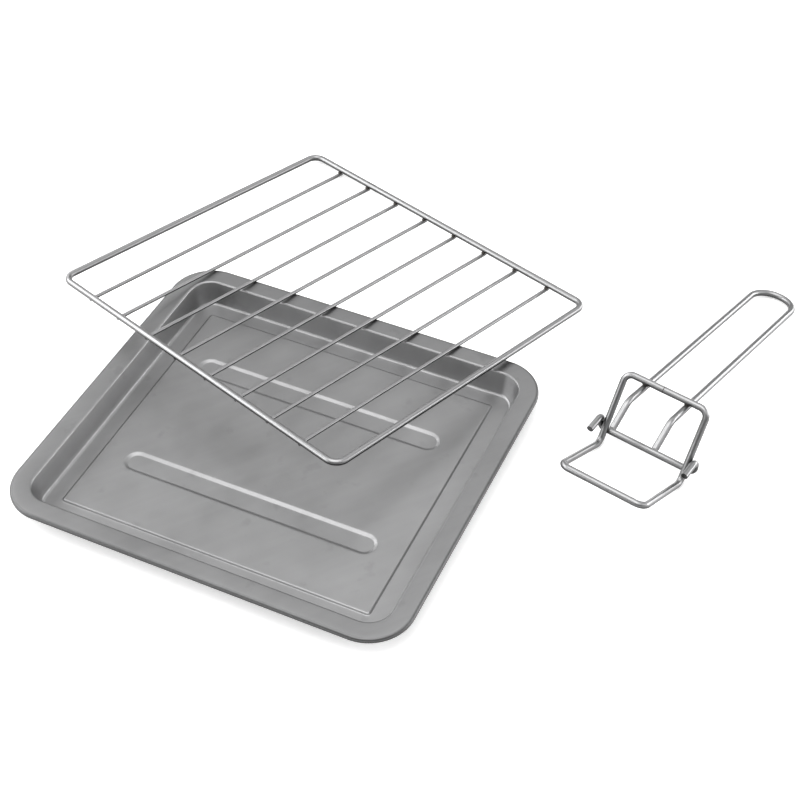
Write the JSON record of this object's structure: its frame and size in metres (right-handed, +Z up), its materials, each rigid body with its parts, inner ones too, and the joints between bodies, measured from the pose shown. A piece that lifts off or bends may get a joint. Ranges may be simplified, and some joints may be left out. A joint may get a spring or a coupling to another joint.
{
  "type": "oven tray and rack set",
  "caption": "Tray set of a table-top mini oven: a pressed steel baking tray with a raised floor, a wire rack leaning on its rim and a loose wire tray handle with a jaw and hooks.",
  "frame": {"origin": "on the table, at the middle of the whole set's footprint", "axes": "+X along the tray's long side, +Y from the tray's near side to its far side, +Z up from the table"},
  "size_m": [0.5127, 0.4552, 0.0514],
  "materials": {
    "tray_sheet": "satin",
    "rack_wire": "polished",
    "handle_wire": "polished"
  },
  "bodies": {
    "tray": {"baking_tray": "tray_sheet"},
    "rack": {"rack_frame": "rack_wire", "rack_bar_1": "rack_wire", "rack_bar_2": "rack_wire", "rack_bar_3": "rack_wire", "rack_bar_4": "rack_wire", "rack_bar_5": "rack_wire", "rack_bar_6": "rack_wire", "rack_bar_7": "rack_wire", "rack_bar_8": "rack_wire"},
    "handle": {"jaw_loop": "handle_wire", "grip_wire": "handle_wire", "hook_rod": "handle_wire"}
  },
  "joints": [
    {"name": "rack_lift", "type": "slide", "parent": "tray", "child": "rack", "axis": [0, 0, 1], "range_m": [0, 0.1]},
    {"name": "handle_lift", "type": "slide", "parent": "tray", "child": "handle", "axis": [0, 0, 1], "range_m": [0, 0.1]}
  ]
}
